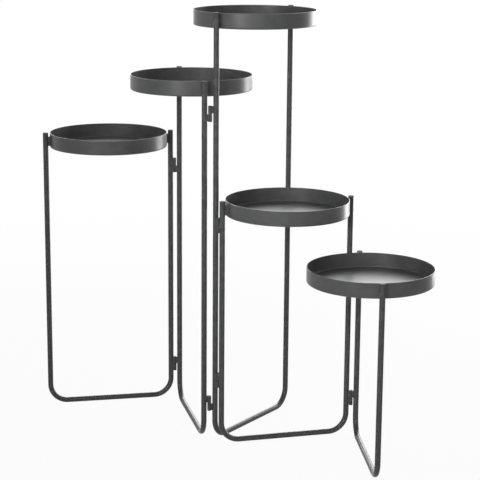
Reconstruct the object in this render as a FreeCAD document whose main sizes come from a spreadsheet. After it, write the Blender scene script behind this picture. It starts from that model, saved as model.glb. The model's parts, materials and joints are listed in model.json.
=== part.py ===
import FreeCAD, Part
import math
import os
import Sketcher
from FreeCAD import Placement, Rotation, Vector

# A folding plant stand: five U frames of bent tube, each with a round tray between its posts, joined
# edge to edge by barrel hinges. Frames are numbered from left to right. Post a is the left end of a
# frame, post b the right. Lengths are in millimetres, angles in degrees. Z is up, and the floor is at zero.
driving_sizes = {
    # bent tube frames
    "tube_diameter": 10,
    "tube_wall": 1,
    "bend_radius": 33,
    "frame_1_height": 530,
    "frame_2_height": 652,
    "frame_3_height": 770,
    "frame_4_height": 445,
    "frame_5_height": 347,
    # caps that close the tops of the posts
    "cap_head": 1.5,
    "cap_spigot": 6,
    "cap_clearance": 0.05,
    "cap_edge_round": 0.5,
    # trays pressed from sheet
    "tray_diameter": 220,
    "tray_thickness": 1,
    "tray_corner_round": 3,
    "rim_height": 27,
    "rim_lip_round": 0.3,
    "rim_drop": 1,
    # lugs between rim and post
    "lug_reach": 3,
    "lug_width": 6,
    "lug_height": 18,
    "seat_clearance": 0.05,
    # barrel hinges
    "barrel_diameter": 7,
    "barrel_length": 28,
    "barrel_end_chamfer": 0.5,
    "knuckle_gap": 0.3,
    "pin_diameter": 4,
    "pin_recess": 0.5,
    "pin_end_chamfer": 0.4,
    "pin_running_clearance": 0.05,
    "pin_held_clearance": 0.01,
    "weld_reach": 2,
    "weld_width": 4,
    "weld_height": 8,
    # hinge heights: the lower ones above the bend, the upper ones below the tray of the lower frame
    "lower_hinge_rise": 32,
    "lower_hinge_stagger": 47,
    "hinge_1_2_drop": 38,
    "hinge_2_3_drop": 28,
    "hinge_3_4_drop": 16,
    "hinge_4_5_drop": 28,
    # how the stand is set out
    "weld_angle": 55,
    "frame_3_angle": 55.8,
    "hinge_1_2_angle": 91.2,
    "hinge_2_3_angle": 47.2,
    "hinge_3_4_angle": 41.0,
    "hinge_4_5_angle": 80.1,
}

frame_names = ("1", "2", "3", "4", "5")
centre_frame = "3"
quarter_turn = math.pi / 2
half_turn_angle = 180
up = Vector(0, 0, 1)

# Each hinge line: its name, the frame and post that carry it, the frame and post that swing on it, which
# way the swung frame lies from the carrying one (1 is anticlockwise from above), and the frame with the
# upper hinge's top knuckle. The lower hinge has its knuckles the other way up, so that the frames can't be
# lifted apart.
hinge_lines = (
    ("2_3", "3", "a", "2", "b", 1, "3"),
    ("1_2", "2", "a", "1", "b", -1, "1"),
    ("3_4", "3", "a", "4", "a", -1, "3"),
    ("4_5", "4", "b", "5", "a", 1, "4"),
)
staggered_line = "3_4"

doc = FreeCAD.newDocument("plant_stand")
sheet = doc.addObject("Spreadsheet::Sheet", "Sizes")
for row, (alias, number) in enumerate(driving_sizes.items(), 1):
    sheet.set(f"A{row}", alias)
    sheet.set(f"B{row}", str(number))
    sheet.setAlias(f"B{row}", alias)
doc.recompute()

# Sizes that several pieces share, worked out from the driving ones.
post_radius = "Sizes.tube_diameter / 2"
post_bore = "(Sizes.tube_diameter / 2 - Sizes.tube_wall)"
post_spacing = "(Sizes.tray_diameter + 2 * Sizes.lug_reach + Sizes.tube_diameter)"
post_seat = "(Sizes.tube_diameter / 2 + Sizes.seat_clearance)"
tray_radius = "Sizes.tray_diameter / 2"
tray_inner_radius = "(Sizes.tray_diameter / 2 - Sizes.tray_thickness)"
tray_seat = "(Sizes.tray_diameter / 2 + Sizes.seat_clearance)"
barrel_reach = "(Sizes.tube_diameter / 2 + Sizes.weld_reach + Sizes.barrel_diameter / 2)"
knuckle_length = "(Sizes.barrel_length - Sizes.knuckle_gap) / 2"


def value(expression):
    return float(sheet.evalExpression(expression))


def tube_top(number):
    return f"(Sizes.frame_{number}_height - Sizes.cap_head)"


def tray_bottom(number):
    return f"(Sizes.frame_{number}_height - Sizes.rim_drop - Sizes.rim_height)"


def post_x(end):
    return 0 if end == "a" else value(post_spacing)


# Sketches and features

def new_body(label):
    body = doc.addObject("PartDesign::Body", label)
    body.Label = label
    return body


def new_sketch(body, name, role="XY_Plane", lift=None):
    sketch = body.newObject("Sketcher::SketchObject", name)
    plane = next(feature for feature in body.Origin.OriginFeatures if feature.Role == role)
    sketch.AttachmentSupport = (plane, [""])
    sketch.MapMode = "FlatFace"
    if lift:
        sketch.setExpression("AttachmentOffset.Base.z", lift)
    return sketch


def bind(sketch, kind, *where, to):
    index = sketch.addConstraint(Sketcher.Constraint(kind, *where, value(to)))
    sketch.setExpression(f"Constraints[{index}]", to)


def hold(sketch, *constraints):
    for constraint in constraints:
        sketch.addConstraint(Sketcher.Constraint(*constraint))


def draw_circle(sketch, radius, along=None):
    centre = Vector(value(along) if along else 0, 0, 0)
    circle = sketch.addGeometry(Part.Circle(centre, up, value(radius)))
    if along:
        hold(sketch, ("PointOnObject", circle, 3, -1))
        bind(sketch, "DistanceX", -1, 1, circle, 3, to=along)
    else:
        hold(sketch, ("Coincident", circle, 3, -1, 1))
    bind(sketch, "Radius", circle, to=radius)


def draw_upright_slot(sketch, width, height):
    half, reach = value(width) / 2, (value(height) - value(width)) / 2
    top_circle = Part.Circle(Vector(0, reach, 0), up, half)
    low_circle = Part.Circle(Vector(0, -reach, 0), up, half)
    top = sketch.addGeometry(Part.ArcOfCircle(top_circle, 0, 2 * quarter_turn))
    left = sketch.addGeometry(Part.LineSegment(Vector(-half, reach, 0), Vector(-half, -reach, 0)))
    low = sketch.addGeometry(Part.ArcOfCircle(low_circle, 2 * quarter_turn, 4 * quarter_turn))
    right = sketch.addGeometry(Part.LineSegment(Vector(half, -reach, 0), Vector(half, reach, 0)))
    hold(sketch, ("Tangent", top, 2, left, 1), ("Tangent", left, 2, low, 1), ("Tangent", low, 2, right, 1),
         ("Tangent", right, 2, top, 1), ("Vertical", left), ("Symmetric", top, 3, low, 3, -1, 1))
    bind(sketch, "Radius", top, to=f"{width} / 2")
    bind(sketch, "DistanceY", low, 3, top, 3, to=f"({height} - {width})")


def pad(body, sketch, length, **settings):
    feature = body.newObject("PartDesign::Pad", "pad")
    feature.Profile = sketch
    feature.setExpression("Length", length)
    for name, setting in settings.items():
        setattr(feature, name, setting)
    return feature


def cut_up(body, sketch):
    feature = body.newObject("PartDesign::Pocket", "cut")
    feature.Profile = sketch
    feature.Type = "ThroughAll"
    feature.Reversed = True
    return feature


def ring_edges(feature, height, *radii):
    doc.recompute()
    near = Part.Precision.confusion()
    names = []
    for number, edge in enumerate(feature.Shape.Edges, 1):
        if isinstance(edge.Curve, Part.Circle) and abs(edge.Curve.Center.z - height) < near:
            if any(abs(edge.Curve.Radius - radius) < near for radius in radii):
                names.append(f"Edge{number}")
    return names


def dress(body, kind, size_name, base, edges, size):
    feature = body.newObject(f"PartDesign::{kind}", kind.lower())
    feature.Base = (base, edges)
    feature.setExpression(size_name, size)
    return feature


# Pieces, each in its own coordinates

def make_frame(number):
    body = new_body(f"frame_{number}")
    top, spacing = value(tube_top(number)), value(post_spacing)
    radius, bend = value(post_radius), value("Sizes.bend_radius")
    level = radius + bend
    path = new_sketch(body, "bend_line", "XZ_Plane")
    left_circle = Part.Circle(Vector(bend, level, 0), up, bend)
    right_circle = Part.Circle(Vector(spacing - bend, level, 0), up, bend)
    post_a = path.addGeometry(Part.LineSegment(Vector(0, top, 0), Vector(0, level, 0)))
    bend_a = path.addGeometry(Part.ArcOfCircle(left_circle, 2 * quarter_turn, 3 * quarter_turn))
    bar = path.addGeometry(Part.LineSegment(Vector(bend, radius, 0), Vector(spacing - bend, radius, 0)))
    bend_b = path.addGeometry(Part.ArcOfCircle(right_circle, 3 * quarter_turn, 4 * quarter_turn))
    post_b = path.addGeometry(Part.LineSegment(Vector(spacing, level, 0), Vector(spacing, top, 0)))
    hold(path, ("Tangent", post_a, 2, bend_a, 1), ("Tangent", bend_a, 2, bar, 1),
         ("Tangent", bar, 2, bend_b, 1), ("Tangent", bend_b, 2, post_b, 1),
         ("Vertical", post_a), ("Horizontal", bar), ("Vertical", post_b),
         ("Equal", bend_a, bend_b), ("PointOnObject", post_a, 1, -2), ("Horizontal", post_a, 1, post_b, 2))
    bind(path, "Radius", bend_a, to="Sizes.bend_radius")
    bind(path, "DistanceX", post_a, 1, post_b, 2, to=post_spacing)
    bind(path, "DistanceY", -1, 1, post_a, 1, to=tube_top(number))
    bind(path, "DistanceY", -1, 1, bar, 1, to=post_radius)
    section = new_sketch(body, "tube_section", lift=tube_top(number))
    draw_circle(section, post_radius)
    draw_circle(section, post_bore)
    tube = body.newObject("PartDesign::AdditivePipe", "tube")
    tube.Profile = section
    tube.Spine = path
    return body


def make_cap(label):
    body = new_body(label)
    head_outline = new_sketch(body, "head_outline")
    draw_circle(head_outline, post_radius)
    head = pad(body, head_outline, "Sizes.cap_head")
    edges = ring_edges(head, value("Sizes.cap_head"), value(post_radius))
    dress(body, "Fillet", "Radius", head, edges, "Sizes.cap_edge_round")
    spigot_outline = new_sketch(body, "spigot_outline")
    draw_circle(spigot_outline, f"({post_bore} - Sizes.cap_clearance)")
    pad(body, spigot_outline, "Sizes.cap_spigot", Reversed=True)
    return body


def make_tray(number):
    body = new_body(f"tray_{number}")
    outline = new_sketch(body, "rim_outline")
    draw_circle(outline, tray_radius)
    pad(body, outline, "Sizes.rim_height")
    inside = new_sketch(body, "inside_outline", lift="Sizes.rim_height")
    draw_circle(inside, tray_inner_radius)
    hollow = body.newObject("PartDesign::Pocket", "hollow")
    hollow.Profile = inside
    hollow.setExpression("Length", "Sizes.rim_height - Sizes.tray_thickness")
    edges = ring_edges(hollow, value("Sizes.tray_thickness"), value(tray_inner_radius))
    inner = dress(body, "Fillet", "Radius", hollow, edges, "Sizes.tray_corner_round - Sizes.tray_thickness")
    edges = ring_edges(inner, 0, value(tray_radius))
    outer = dress(body, "Fillet", "Radius", inner, edges, "Sizes.tray_corner_round")
    edges = ring_edges(outer, value("Sizes.rim_height"), value(tray_radius), value(tray_inner_radius))
    dress(body, "Fillet", "Radius", outer, edges, "Sizes.rim_lip_round")
    return body


# A lug lies along X from its post's axis, and is hollowed at both ends to seat on the post and on the rim.
def make_lug(label):
    body = new_body(label)
    outline = new_sketch(body, "lug_outline", "YZ_Plane")
    draw_upright_slot(outline, "Sizes.lug_width", "Sizes.lug_height")
    pad(body, outline, "Sizes.tube_diameter + Sizes.lug_reach")
    seats = ((post_seat, None), (tray_seat, f"{post_spacing} / 2"))
    for radius, along in seats:
        seat = new_sketch(body, "seat", lift="-Sizes.lug_height")
        draw_circle(seat, radius, along)
        cut_up(body, seat)
    return body


# A knuckle stands on the hinge axis, with its weld foot along X to the post that carries it.
def make_knuckle(label, pin_clearance, outer_end_up):
    body = new_body(label)
    outline = new_sketch(body, "barrel_outline")
    draw_circle(outline, "Sizes.barrel_diameter / 2")
    barrel = pad(body, outline, knuckle_length)
    outer_height = value(knuckle_length) if outer_end_up else 0
    edges = ring_edges(barrel, outer_height, value("Sizes.barrel_diameter / 2"))
    dress(body, "Chamfer", "Size", barrel, edges, "Sizes.barrel_end_chamfer")
    foot = new_sketch(body, "weld_outline", "YZ_Plane")
    foot.setExpression("AttachmentOffset.Base.y", f"{knuckle_length} / 2")
    draw_upright_slot(foot, "Sizes.weld_width", "Sizes.weld_height")
    pad(body, foot, barrel_reach)
    for radius, along in ((post_seat, barrel_reach), (f"(Sizes.pin_diameter / 2 + {pin_clearance})", None)):
        hole = new_sketch(body, "hole")
        draw_circle(hole, radius, along)
        cut_up(body, hole)
    return body


def make_pin(label):
    body = new_body(label)
    outline = new_sketch(body, "pin_outline")
    draw_circle(outline, "Sizes.pin_diameter / 2")
    length = "(Sizes.barrel_length - 2 * Sizes.pin_recess)"
    shank = pad(body, outline, length)
    radius = value("Sizes.pin_diameter / 2")
    edges = ring_edges(shank, 0, radius) + ring_edges(shank, value(length), radius)
    dress(body, "Chamfer", "Size", shank, edges, "Sizes.pin_end_chamfer")
    return body


# Where the frames stand: each is set out from the one that carries it, at the angle between the two.

def barrel_spot(end, side):
    outward = -1 if end == "a" else 1
    reach, angle = value(barrel_reach), math.radians(value("Sizes.weld_angle"))
    return Vector(post_x(end) + outward * reach * math.cos(angle), side * reach * math.sin(angle), 0)


def hinge_sides(carrier_end, swung_end, turn):
    return (turn if carrier_end == "a" else -turn), (-turn if swung_end == "a" else turn)


heading = {centre_frame: value(f"Sizes.frame_{centre_frame}_angle")}
place = {centre_frame: Placement(Vector(), Rotation(up, heading[centre_frame]))}
for name, carrier, carrier_end, swung, swung_end, turn, _ in hinge_lines:
    carrier_side, swung_side = hinge_sides(carrier_end, swung_end, turn)
    look = heading[carrier] + turn * value(f"Sizes.hinge_{name}_angle")
    heading[swung] = look + (0 if carrier_end == swung_end else half_turn_angle)
    turned = Rotation(up, heading[swung])
    axis_spot = place[carrier].multVec(barrel_spot(carrier_end, carrier_side))
    place[swung] = Placement(axis_spot - turned.multVec(barrel_spot(swung_end, swung_side)), turned)

# The origin is the middle of the stand's box, on the floor.
footprint = FreeCAD.BoundBox()
for spot in place.values():
    spacing = value(post_spacing)
    for along, radius in ((0, post_radius), (spacing, post_radius), (spacing / 2, tray_radius)):
        centre = spot.multVec(Vector(along, 0, 0))
        footprint.add(centre + Vector(value(radius), value(radius), 0))
        footprint.add(centre - Vector(value(radius), value(radius), 0))
for spot in place.values():
    spot.Base = spot.Base - footprint.Center


def set_on(number, body, where, turn_angle=0):
    body.Placement = place[number] * Placement(where, Rotation(up, turn_angle))


# Frames with their caps, trays and lugs

for number in frame_names:
    set_on(number, make_frame(number), Vector())
    tray_spot = Vector(value(post_spacing) / 2, 0, value(tray_bottom(number)))
    set_on(number, make_tray(number), tray_spot)
    lug_level = value(f"{tray_bottom(number)} + Sizes.tray_corner_round + Sizes.lug_height / 2")
    for end, lug_turn in (("a", 0), ("b", half_turn_angle)):
        set_on(number, make_cap(f"frame_{number}_cap_{end}"), Vector(post_x(end), 0, value(tube_top(number))))
        set_on(number, make_lug(f"tray_{number}_lug_{end}"), Vector(post_x(end), 0, lug_level), lug_turn)
    seat = place[number].multVec(tray_spot) + Vector(0, 0, value("Sizes.tray_thickness"))
    print(f"tray {number} seat {seat.x:.3f} {seat.y:.3f} {seat.z:.3f}")


# Hinges

def make_hinge(line, level, height, top, bottom):
    label = f"hinge_{line}_{level}"
    base = height - value("Sizes.barrel_length / 2")
    lift = value(f"{knuckle_length} + Sizes.knuckle_gap")
    halves = (("top", top, base + lift, "Sizes.pin_running_clearance"),
              ("bottom", bottom, base, "Sizes.pin_held_clearance"))
    for half, (number, end, side), foot_height, clearance in halves:
        spot = barrel_spot(end, side)
        to_post = Vector(post_x(end), 0, 0) - spot
        knuckle = make_knuckle(f"{label}_{half}_knuckle", clearance, half == "top")
        weld_turn = math.degrees(math.atan2(to_post.y, to_post.x))
        set_on(number, knuckle, spot + Vector(0, 0, foot_height), weld_turn)
    number, end, side = bottom
    pin_spot = barrel_spot(end, side) + Vector(0, 0, base + value("Sizes.pin_recess"))
    set_on(number, make_pin(f"{label}_pin"), pin_spot)


for name, carrier, carrier_end, swung, swung_end, turn, top_frame in hinge_lines:
    carrier_side, swung_side = hinge_sides(carrier_end, swung_end, turn)
    carrying, swinging = (carrier, carrier_end, carrier_side), (swung, swung_end, swung_side)
    top, bottom = (carrying, swinging) if top_frame == carrier else (swinging, carrying)
    lower_frame = min(carrier, swung, key=lambda number: value(f"Sizes.frame_{number}_height"))
    upper_height = value(f"{tray_bottom(lower_frame)} - Sizes.hinge_{name}_drop")
    lower_height = value(f"{post_radius} + Sizes.bend_radius + Sizes.lower_hinge_rise")
    if name == staggered_line:
        lower_height += value("Sizes.lower_hinge_stagger")
    make_hinge(name, "upper", upper_height, top, bottom)
    make_hinge(name, "lower", lower_height, bottom, top)
    axis_spot = place[carrier].multVec(barrel_spot(carrier_end, carrier_side))
    print(f"hinge {name} axis {axis_spot.x:.3f} {axis_spot.y:.3f}")

doc.recompute()
for item in doc.Objects:
    if "Invalid" in item.State or "Error" in item.State:
        raise RuntimeError(f"{item.Label} failed: {item.State}")
pieces = [item for item in doc.Objects if item.TypeId == "PartDesign::Body"]
for piece in pieces:
    if piece.Shape.isNull() or not piece.Shape.isValid() or len(piece.Shape.Solids) != 1:
        raise RuntimeError(f"{piece.Label} isn't one sound solid")

os.makedirs("parts", exist_ok=True)
for piece in pieces:
    piece.Shape.exportStep(f"parts/{piece.Label}.step")
print(f"{len(pieces)} pieces written")
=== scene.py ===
import json
import math
import bmesh
import bpy
from mathutils import Matrix, Vector


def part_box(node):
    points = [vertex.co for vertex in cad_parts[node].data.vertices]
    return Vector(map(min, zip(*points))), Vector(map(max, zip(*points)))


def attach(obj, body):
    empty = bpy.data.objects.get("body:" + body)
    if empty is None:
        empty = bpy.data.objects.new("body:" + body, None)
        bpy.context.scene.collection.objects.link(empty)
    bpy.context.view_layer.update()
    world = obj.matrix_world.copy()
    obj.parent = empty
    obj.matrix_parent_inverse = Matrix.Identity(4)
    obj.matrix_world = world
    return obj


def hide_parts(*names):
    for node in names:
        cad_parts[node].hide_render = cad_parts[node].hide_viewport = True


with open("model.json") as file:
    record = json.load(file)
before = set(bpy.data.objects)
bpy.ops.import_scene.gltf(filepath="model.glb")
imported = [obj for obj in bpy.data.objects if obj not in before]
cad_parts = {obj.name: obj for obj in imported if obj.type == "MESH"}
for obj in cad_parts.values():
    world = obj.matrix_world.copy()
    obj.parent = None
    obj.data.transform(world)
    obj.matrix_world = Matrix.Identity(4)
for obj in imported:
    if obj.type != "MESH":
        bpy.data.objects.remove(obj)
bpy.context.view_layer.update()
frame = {"nodes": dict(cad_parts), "record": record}
print("frame loaded, nodes:", len(frame["nodes"]))

# The stand has five tube frames, numbered from left to right.
# Post a is a frame's left end, post b its right end.
frameNumbers = (1, 2, 3, 4, 5)
postEnds = ("a", "b")
bothSides = (-1, 1)
hingeLines = ("1_2", "2_3", "3_4", "4_5")
quarterTurn = math.pi / 2
halfTurn = math.pi
tiny = 1e-6
bodyOf = {node: body for body, nodes in frame["record"]["behaviour"]["bodies"].items() for node in nodes}


def middleOf(node):
    low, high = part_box(node)
    return (low + high) / 2


def heightOf(node):
    low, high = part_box(node)
    return high.z - low.z


posts = {(number, end): middleOf(f"frame_{number}_cap_{end}")
         for number in frameNumbers for end in postEnds}
for post in posts.values():
    post.z = 0.0

# modelling helpers

uprightLimit = 0.5             # a face whose normal rises less than this stands upright
downLimit = -0.9               # a face whose normal falls below this looks down
sharpTurn = 1.0                # an edge that turns by more than this, in radians, is sharp
smoothAngle = 35               # edges that turn by fewer degrees are shaded smooth


def deselectAll():
    bpy.ops.object.select_all(action="DESELECT")


def startPiece(name):          # the primitive just added goes into edit mode, all selected
    piece = bpy.context.view_layer.objects.active
    piece.name = piece.data.name = name
    bpy.ops.object.transform_apply(location=True, rotation=True, scale=True)
    bpy.ops.object.mode_set(mode="EDIT")
    bpy.ops.mesh.select_all(action="SELECT")
    return piece


def pick(piece, kind, test):   # kind is verts, edges or faces
    bpy.ops.mesh.select_mode(type={"verts": "VERT", "edges": "EDGE", "faces": "FACE"}[kind])
    bpy.ops.mesh.select_all(action="DESELECT")
    work = bmesh.from_edit_mesh(piece.data)
    for item in getattr(work, kind):
        if test(item):
            item.select_set(True)
    bmesh.update_edit_mesh(piece.data)


def levelEdge(edge, height):   # lies flat at this height
    return all(abs(vert.co.z - height) < tiny for vert in edge.verts)


def outerEdge(edge, height, radius):   # lies flat at this height, on the outside
    return levelEdge(edge, height) and all(vert.co.xy.length > radius - tiny for vert in edge.verts)


def cornerEdge(edge, height):  # lies flat at this height, beside an upright face
    return levelEdge(edge, height) and any(abs(face.normal.z) < uprightLimit for face in edge.link_faces)


def sharpEdge(edge, height):   # lies flat at this height, where the surface turns sharply
    return levelEdge(edge, height) and edge.calc_face_angle(0) > sharpTurn


def slopingEdge(edge, axis):   # its ends differ along this axis, x, y or z
    start, stop = (getattr(vert.co, axis) for vert in edge.verts)
    return abs(start - stop) > tiny


def extrudeBy(x, y, z):
    bpy.ops.mesh.extrude_region_move(TRANSFORM_OT_translate={"value": (x, y, z)})


def bendRound(steps, x, z):    # spins the ring by a quarter turn about a level line through this spot
    bpy.ops.mesh.spin(steps=steps, angle=quarterTurn, center=(x, 0, z), axis=(0, 1, 0))


def bevelBy(width, steps):
    bpy.ops.mesh.bevel(offset=width, segments=steps, affect="EDGES")


def closeMesh():               # merge, turn the faces outwards and leave edit mode
    bpy.ops.mesh.select_all(action="SELECT")
    bpy.ops.mesh.remove_doubles(threshold=tiny)
    bpy.ops.mesh.normals_make_consistent(inside=False)
    bpy.ops.object.mode_set(mode="OBJECT")


def applyModifier(piece, kind, **settings):
    modifier = piece.modifiers.new(kind.lower(), kind)
    for name, setting in settings.items():
        setattr(modifier, name, setting)
    bpy.ops.object.modifier_apply(modifier=modifier.name)


def smooth(piece, degrees=smoothAngle):
    bpy.ops.object.shade_smooth_by_angle(angle=math.radians(degrees))
    applyModifier(piece, "WEIGHTED_NORMAL", keep_sharp=True)


def copyOf(master, place):     # each copy has its own mesh, with its place in it
    piece = master.copy()
    piece.data = master.data.copy()
    bpy.context.scene.collection.objects.link(piece)
    piece.data.transform(place)
    return piece


def joinInto(piece, others):
    deselectAll()
    for other in others:
        other.select_set(True)
    piece.select_set(True)
    bpy.context.view_layer.objects.active = piece
    bpy.ops.object.join()


def finishPiece(piece, name, node, material):
    piece.name = piece.data.name = name
    piece.data.materials.clear()
    piece.data.materials.append(material)
    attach(piece, bodyOf[node])
    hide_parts(node)


def turnBy(angle, axis):
    return Matrix.Rotation(angle, 4, axis)


def turned(direction):         # turns a piece made along +X to lie along a level direction
    return turnBy(math.atan2(direction.y, direction.x), "Z")


# powder coat and pin steel

charcoalCoat = {
    "darkColour": (0.067, 0.0675, 0.068, 1),
    "lightColour": (0.078, 0.0785, 0.079, 1),
    "mottleScale": 60.0,
    "mottleDetail": 4.0,
    "peelScale": 900.0,        # orange peel a little over a millimetre across
    "peelDetail": 2.0,
    "peelDepth": 0.0001,
}
tubeCoat = dict(charcoalCoat, ior=1.26, roughness=(0.24, 0.3), peelStrength=0.015)
capCoat = dict(charcoalCoat, ior=1.2, roughness=(0.6, 0.7), peelStrength=0.03)
trayCoat = dict(charcoalCoat, ior=1.37, roughness=(0.32, 0.38), peelStrength=0.015)
pinSteel = {
    "darkColour": (0.05, 0.05, 0.052, 1),
    "lightColour": (0.08, 0.08, 0.082, 1),
    "mottleScale": 300.0,
    "mottleDetail": 4.0,
    "roughness": (0.3, 0.45),
    "ior": 1.5,
}
mottleBand = (0.35, 0.65)      # the stretch of the noise that goes from the first value to the second


def noiseOn(nodes, links, scale, detail):
    place = nodes.new("ShaderNodeTexCoord")
    noise = nodes.new("ShaderNodeTexNoise")
    noise.inputs["Scale"].default_value = scale
    noise.inputs["Detail"].default_value = detail
    links.new(place.outputs["Object"], noise.inputs["Vector"])
    return noise.outputs["Fac"]


def mapBand(nodes, links, source, fromBand, toBand):
    band = nodes.new("ShaderNodeMapRange")
    band.inputs["From Min"].default_value, band.inputs["From Max"].default_value = fromBand
    band.inputs["To Min"].default_value, band.inputs["To Max"].default_value = toBand
    links.new(source, band.inputs["Value"])
    return band.outputs["Result"]


def paintMaterial(name, look):
    material = bpy.data.materials.new(name)
    material.use_nodes = True
    nodes, links = material.node_tree.nodes, material.node_tree.links
    shader = nodes["Principled BSDF"]
    shader.inputs["IOR"].default_value = look["ior"]
    mottle = noiseOn(nodes, links, look["mottleScale"], look["mottleDetail"])
    ramp = nodes.new("ShaderNodeValToRGB")
    colours = (look["darkColour"], look["lightColour"])
    for stop, position, colour in zip(ramp.color_ramp.elements, mottleBand, colours):
        stop.position = position
        stop.color = colour
    links.new(mottle, ramp.inputs["Fac"])
    links.new(ramp.outputs["Color"], shader.inputs["Base Color"])
    links.new(mapBand(nodes, links, mottle, mottleBand, look["roughness"]), shader.inputs["Roughness"])
    if "peelScale" in look:
        bump = nodes.new("ShaderNodeBump")
        bump.inputs["Strength"].default_value = look["peelStrength"]
        bump.inputs["Distance"].default_value = look["peelDepth"]
        links.new(noiseOn(nodes, links, look["peelScale"], look["peelDetail"]), bump.inputs["Height"])
        links.new(bump.outputs["Normal"], shader.inputs["Normal"])
    return material


frameCoatMaterial = paintMaterial("charcoalTubeCoat", tubeCoat)
capCoatMaterial = paintMaterial("charcoalCapCoat", capCoat)
trayCoatMaterial = paintMaterial("charcoalTrayCoat", trayCoat)
pinSteelMaterial = paintMaterial("blackenedPinSteel", pinSteel)
print("materials made")

# U frames: a ring is drawn down the first post, round both bends and up the second post

tubeFrame = {"diameter": 0.010, "wall": 0.001, "bendRadius": 0.033, "sides": 40, "bendSteps": 14}


def modelTube(spacing, top):
    radius, bend = tubeFrame["diameter"] / 2, tubeFrame["bendRadius"]
    level = radius + bend      # height at which the bends start
    deselectAll()
    bpy.ops.mesh.primitive_circle_add(vertices=tubeFrame["sides"], radius=radius, location=(0, 0, top))
    piece = startPiece("tube")
    extrudeBy(0, 0, level - top)
    bendRound(tubeFrame["bendSteps"], bend, level)
    extrudeBy(spacing - 2 * bend, 0, 0)
    bendRound(tubeFrame["bendSteps"], spacing - bend, level)
    extrudeBy(0, 0, top - level)
    closeMesh()
    applyModifier(piece, "SOLIDIFY", thickness=tubeFrame["wall"], offset=-1)
    smooth(piece)
    return piece


for number in frameNumbers:
    postA, postB = posts[number, "a"], posts[number, "b"]
    node = f"frame_{number}"
    tube = modelTube((postB - postA).length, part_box(node)[1].z)
    tube.data.transform(Matrix.Translation(postA) @ turned(postB - postA))
    finishPiece(tube, f"tubeFrame{number}", node, frameCoatMaterial)
print("tube frames modelled")

# caps that close the post tops

postCap = {"head": 0.0015, "spigot": 0.006, "clearance": 0.00005, "edgeRound": 0.0005, "roundSteps": 3}


def modelCap():                # stands on the post's open end, with its spigot below
    radius, head = tubeFrame["diameter"] / 2, postCap["head"]
    deselectAll()
    bpy.ops.mesh.primitive_cylinder_add(vertices=tubeFrame["sides"], radius=radius, depth=head,
                                        location=(0, 0, head / 2))
    piece = startPiece("cap")
    pick(piece, "faces", lambda face: face.normal.z < downLimit)
    bpy.ops.mesh.inset(thickness=tubeFrame["wall"] + postCap["clearance"])
    extrudeBy(0, 0, -postCap["spigot"])
    pick(piece, "edges", lambda edge: levelEdge(edge, head))
    bevelBy(postCap["edgeRound"], postCap["roundSteps"])
    closeMesh()
    smooth(piece)
    return piece


capMaster = modelCap()
for (number, end), post in posts.items():
    node = f"frame_{number}_cap_{end}"
    top = Vector((post.x, post.y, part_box(node)[1].z - postCap["head"]))
    finishPiece(copyOf(capMaster, Matrix.Translation(top)), f"postCap{number}{end}", node, capCoatMaterial)
bpy.data.objects.remove(capMaster)
print("post caps modelled")

# trays: a rim is drawn up from a ring, floored, rounded at the corner and given its sheet's thickness

trayPan = {
    "radius": 0.110,
    "rimHeight": 0.027,
    "sheet": 0.001,
    "cornerRound": 0.003,
    "cornerSteps": 6,
    "lipRound": 0.0003,
    "lipSteps": 2,
    "sides": 160,
    "floorRings": (0.004, 0.03, 0.04),     # widths of the rings of faces, from the rim inwards
}


def modelTray():
    rimHeight = trayPan["rimHeight"]
    deselectAll()
    bpy.ops.mesh.primitive_circle_add(vertices=trayPan["sides"], radius=trayPan["radius"])
    piece = startPiece("tray")
    extrudeBy(0, 0, rimHeight)
    pick(piece, "edges", lambda edge: levelEdge(edge, 0))
    bpy.ops.mesh.edge_face_add()
    for width in trayPan["floorRings"]:
        bpy.ops.mesh.inset(thickness=width)
    pick(piece, "edges", lambda edge: cornerEdge(edge, 0))
    bevelBy(trayPan["cornerRound"], trayPan["cornerSteps"])
    closeMesh()
    applyModifier(piece, "SOLIDIFY", thickness=trayPan["sheet"], offset=-1, use_even_offset=True)
    bpy.ops.object.mode_set(mode="EDIT")
    pick(piece, "edges", lambda edge: sharpEdge(edge, rimHeight))
    bevelBy(trayPan["lipRound"], trayPan["lipSteps"])
    bpy.ops.object.mode_set(mode="OBJECT")
    smooth(piece)
    return piece


trayMaster = modelTray()
for number in frameNumbers:
    node = f"tray_{number}"
    seat = middleOf(node)
    seat.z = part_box(node)[0].z
    finishPiece(copyOf(trayMaster, Matrix.Translation(seat)), f"trayPan{number}", node, trayCoatMaterial)
bpy.data.objects.remove(trayMaster)
print("trays modelled")

# weld bead: a rod whose rings swell and shrink, one unit long and wide, along Z

weldBead = {
    "sides": 14,
    "ripples": 9,
    "rippleShare": 0.26,       # how far a ring between two ripples draws in
    "tipShare": 0.97,          # where the ends are cut, on the way from the middle to a pointed tip
    "endPower": 4,             # the higher, the blunter the ends
    "subdivisions": 1,
    "smoothAngle": 80,
}


def modelBead():
    halfUnit = 1 / 2
    cuts = 2 * weldBead["ripples"]
    deselectAll()
    bpy.ops.mesh.primitive_cylinder_add(vertices=weldBead["sides"], radius=halfUnit, depth=1)
    piece = startPiece("bead")
    pick(piece, "edges", lambda edge: slopingEdge(edge, "z"))
    bpy.ops.mesh.subdivide(number_cuts=cuts)
    for ring in range(cuts + 2):
        height = ring / (cuts + 1) - halfUnit
        alongShare = abs(weldBead["tipShare"] * height / halfUnit)
        reach = math.sqrt(1 - alongShare ** weldBead["endPower"])
        ripple = 1 - weldBead["rippleShare"] * (ring % 2)
        pick(piece, "verts", lambda vert: abs(vert.co.z - height) < tiny)
        bpy.ops.transform.resize(value=(reach * ripple, reach * ripple, 1), center_override=(0, 0, height))
    closeMesh()
    levels = weldBead["subdivisions"]
    applyModifier(piece, "SUBSURF", levels=levels, render_levels=levels)
    smooth(piece, weldBead["smoothAngle"])
    return piece


beadMaster = modelBead()


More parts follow.
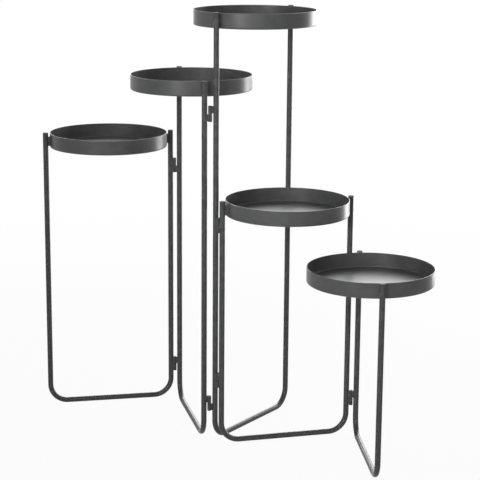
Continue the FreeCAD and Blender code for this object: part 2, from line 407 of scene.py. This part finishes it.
def addBeads(piece, size, spots):      # size is the bead's (depth, width, length)
    scale = Matrix.Diagonal((*size, 1))
    joinInto(piece, [copyOf(beadMaster, Matrix.Translation(spot) @ scale) for spot in spots])


# lugs between post and rim, along X from the post's axis

rimLug = {
    "reach": 0.003,
    "width": 0.006,
    "height": 0.018,
    "postSink": 0.0012,
    "rimSink": 0.0004,
    "roundShare": 0.96,        # of half the width
    "roundSteps": 5,
    "bead": (0.0018, 0.0018, 0.0165),
    "beadOut": 0.0028,
    "postBeadIn": 0.0005,
    "rimBeadIn": 0.0003,
}


def modelLug():
    near = tubeFrame["diameter"] / 2
    far = near + rimLug["reach"]
    start, stop = near - rimLug["postSink"], far + rimLug["rimSink"]
    deselectAll()
    bpy.ops.mesh.primitive_cube_add(size=1, location=((start + stop) / 2, 0, 0),
                                    scale=(stop - start, rimLug["width"], rimLug["height"]))
    piece = startPiece("lug")
    pick(piece, "edges", lambda edge: slopingEdge(edge, "x"))
    bevelBy(rimLug["roundShare"] * rimLug["width"] / 2, rimLug["roundSteps"])
    closeMesh()
    smooth(piece)
    beadLines = (near - rimLug["postBeadIn"], far - rimLug["rimBeadIn"])
    spots = [Vector((line, side * rimLug["beadOut"], 0)) for line in beadLines for side in bothSides]
    addBeads(piece, rimLug["bead"], spots)
    return piece


lugMaster = modelLug()
for number in frameNumbers:
    trayMiddle = middleOf(f"tray_{number}")
    for end in postEnds:
        node = f"tray_{number}_lug_{end}"
        post = posts[number, end]
        place = Matrix.Translation((post.x, post.y, middleOf(node).z)) @ turned(trayMiddle - post)
        finishPiece(copyOf(lugMaster, place), f"rimLug{number}{end}", node, frameCoatMaterial)
bpy.data.objects.remove(lugMaster)
print("rim lugs modelled")

# hinges: two barrels on a pin, each welded to its own post

barrelHinge = {
    "diameter": 0.007,
    "bore": 0.0041,
    "sides": 40,
    "endChamfer": 0.0005,
    "chamferSteps": 3,
    "weldGap": 0.002,          # between barrel and post
    "bead": (0.0038, 0.0032, 0.0128),
    "beadOut": 0.0013,
    "pinDiameter": 0.004,
    "pinChamfer": 0.0004,
}


def modelBarrel(length):       # stands on the hinge axis, with its post along +X and its outer end up
    radius = barrelHinge["diameter"] / 2
    deselectAll()
    bpy.ops.mesh.primitive_circle_add(vertices=barrelHinge["sides"], radius=radius)
    piece = startPiece("barrel")
    extrudeBy(0, 0, length)
    closeMesh()
    applyModifier(piece, "SOLIDIFY", thickness=radius - barrelHinge["bore"] / 2, offset=-1)
    bpy.ops.object.mode_set(mode="EDIT")
    pick(piece, "edges", lambda edge: outerEdge(edge, length, radius))
    bevelBy(barrelHinge["endChamfer"], barrelHinge["chamferSteps"])
    bpy.ops.object.mode_set(mode="OBJECT")
    smooth(piece)
    beadLine = radius + barrelHinge["weldGap"] / 2
    spots = [Vector((beadLine, side * barrelHinge["beadOut"], length / 2)) for side in bothSides]
    addBeads(piece, barrelHinge["bead"], spots)
    return piece


def modelPin(length):
    radius = barrelHinge["pinDiameter"] / 2
    deselectAll()
    bpy.ops.mesh.primitive_cylinder_add(vertices=barrelHinge["sides"], radius=radius, depth=length)
    piece = startPiece("pin")
    pick(piece, "edges", lambda edge: levelEdge(edge, length / 2) or levelEdge(edge, -length / 2))
    bevelBy(barrelHinge["pinChamfer"], barrelHinge["chamferSteps"])
    closeMesh()
    smooth(piece)
    return piece


def nearestPost(number, axis):
    return min((posts[number, end] for end in postEnds), key=lambda post: (post - axis).xy.length)


barrelMaster = modelBarrel(heightOf("hinge_1_2_upper_top_knuckle"))
pinMaster = modelPin(heightOf("hinge_1_2_upper_pin"))
outerEndDown = turnBy(halfTurn, "X")
for line in hingeLines:
    for level in ("upper", "lower"):
        hinge = f"hinge_{line}_{level}"
        pieceName = f"hinge{line.replace('_', '')}{level.title()}"
        axis = middleOf(f"{hinge}_pin")
        pin = copyOf(pinMaster, Matrix.Translation(axis))
        finishPiece(pin, f"{pieceName}Pin", f"{hinge}_pin", pinSteelMaterial)
        for half in ("top", "bottom"):
            node = f"{hinge}_{half}_knuckle"
            number = int(bodyOf[node].split("_")[1])
            toPost = turned(nearestPost(number, axis) - axis)
            low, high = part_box(node)
            if half == "top":
                place = Matrix.Translation((axis.x, axis.y, low.z)) @ toPost
            else:
                place = Matrix.Translation((axis.x, axis.y, high.z)) @ toPost @ outerEndDown
            barrel = copyOf(barrelMaster, place)
            finishPiece(barrel, f"{pieceName}{half.title()}Barrel", node, frameCoatMaterial)
for master in (barrelMaster, pinMaster, beadMaster):
    bpy.data.objects.remove(master)
print("hinges modelled")

# camera, at the photograph's viewing place

viewCamera = {
    "place": (0.0177, -2.6739, 0.9685),
    "pitch": 12.85,            # degrees below the level
    "roll": 0.43,
    "lens": 114.0,
    "sensor": 36.0,
    "clipEnd": 100.0,
}
camera = bpy.data.objects.new("viewCamera", bpy.data.cameras.new("viewCamera"))
bpy.context.scene.collection.objects.link(camera)
camera.data.lens = viewCamera["lens"]
camera.data.sensor_width = viewCamera["sensor"]
camera.data.clip_end = viewCamera["clipEnd"]
camera.matrix_world = (Matrix.Translation(viewCamera["place"])
                       @ turnBy(quarterTurn - math.radians(viewCamera["pitch"]), "X")
                       @ turnBy(math.radians(viewCamera["roll"]), "Z"))
bpy.context.scene.camera = camera

# studio: pale floor, white backdrop and soft lamps at the front left, front top, back and right back

studio = {
    "floorSize": 40.0,
    "floorColour": (0.4, 0.4, 0.4, 1),
    "whiteShare": (0.95, 1.0),         # near the stand, where its shadow shows, and far from it
    "whiteFade": (0.8, 2.2),           # distances between which the floor fades to white
    "white": (1, 1, 1, 1),
    "roomGrey": (0.1, 0.1, 0.1, 1),
}
standMiddle = (0.0, 0.0, 0.4)
wideSpread = 180.0
lamps = {
    "keyLamp": {"place": (-1.15, -2.45, 0.95), "aim": (0.17, 0.0, 0.54), "width": 0.7, "height": 1.0,
                "power": 1.85, "spread": 30.0},
    "topLamp": {"place": (0.1, -2.4, 1.4), "aim": standMiddle, "width": 1.0, "height": 0.6,
                "power": 18.0, "spread": wideSpread},
    "backLamp": {"place": (0.3, 2.6, 1.45), "aim": standMiddle, "width": 3.2, "height": 2.5,
                 "power": 118.0, "spread": wideSpread},
    "edgeLamp": {"place": (1.05, 0.95, 0.55), "aim": standMiddle, "width": 0.4, "height": 1.1,
                 "power": 14.0, "spread": wideSpread},
}


def addLamp(name, look):
    lamp = bpy.data.objects.new(name, bpy.data.lights.new(name, "AREA"))
    bpy.context.scene.collection.objects.link(lamp)
    lamp.data.shape = "RECTANGLE"
    lamp.data.size = look["width"]
    lamp.data.size_y = look["height"]
    lamp.data.energy = look["power"]
    lamp.data.spread = math.radians(look["spread"])
    lamp.location = look["place"]
    lamp.rotation_euler = (Vector(look["aim"]) - lamp.location).to_track_quat("-Z", "Y").to_euler()


def combine(nodes, links, operation, first, second):
    step = nodes.new("ShaderNodeMath")
    step.operation = operation
    links.new(first, step.inputs[0])
    links.new(second, step.inputs[1])
    return step.outputs["Value"]


def seenRays(nodes, links):    # 1 for rays from the camera and for rays that metal or glass sends on
    path = nodes.new("ShaderNodeLightPath")
    seen = path.outputs["Is Camera Ray"]
    for ray in ("Is Glossy Ray", "Is Transmission Ray"):
        seen = combine(nodes, links, "MAXIMUM", seen, path.outputs[ray])
    return seen


def paintFloor():
    material = bpy.data.materials.new("paleFloor")
    material.use_nodes = True
    nodes, links = material.node_tree.nodes, material.node_tree.links
    nodes.remove(nodes["Principled BSDF"])
    paper = nodes.new("ShaderNodeBsdfDiffuse")
    paper.inputs["Color"].default_value = studio["floorColour"]
    white = nodes.new("ShaderNodeEmission")
    white.inputs["Color"].default_value = studio["white"]
    place = nodes.new("ShaderNodeTexCoord")
    distance = nodes.new("ShaderNodeVectorMath")
    distance.operation = "LENGTH"
    links.new(place.outputs["Object"], distance.inputs[0])
    fade = mapBand(nodes, links, distance.outputs["Value"], studio["whiteFade"], studio["whiteShare"])
    mix = nodes.new("ShaderNodeMixShader")
    links.new(combine(nodes, links, "MULTIPLY", seenRays(nodes, links), fade), mix.inputs["Fac"])
    links.new(paper.outputs["BSDF"], mix.inputs[1])
    links.new(white.outputs["Emission"], mix.inputs[2])
    links.new(mix.outputs["Shader"], nodes["Material Output"].inputs["Surface"])
    return material


def paintWorld():
    world = bpy.data.worlds.new("studio")
    bpy.context.scene.world = world
    world.use_nodes = True
    nodes, links = world.node_tree.nodes, world.node_tree.links
    mix = nodes.new("ShaderNodeMix")
    mix.data_type = "RGBA"
    grey, white, colour = mix.inputs[6], mix.inputs[7], mix.outputs[2]     # its colour sockets
    grey.default_value = studio["roomGrey"]
    white.default_value = studio["white"]
    links.new(seenRays(nodes, links), mix.inputs["Factor"])
    links.new(colour, nodes["Background"].inputs["Color"])


deselectAll()
bpy.ops.mesh.primitive_plane_add(size=studio["floorSize"])
floor = bpy.context.view_layer.objects.active
floor.name = "paleFloor"
floor.data.materials.append(paintFloor())
paintWorld()
for name, look in lamps.items():
    addLamp(name, look)
bpy.context.scene.view_settings.view_transform = "Standard"
print("studio set")
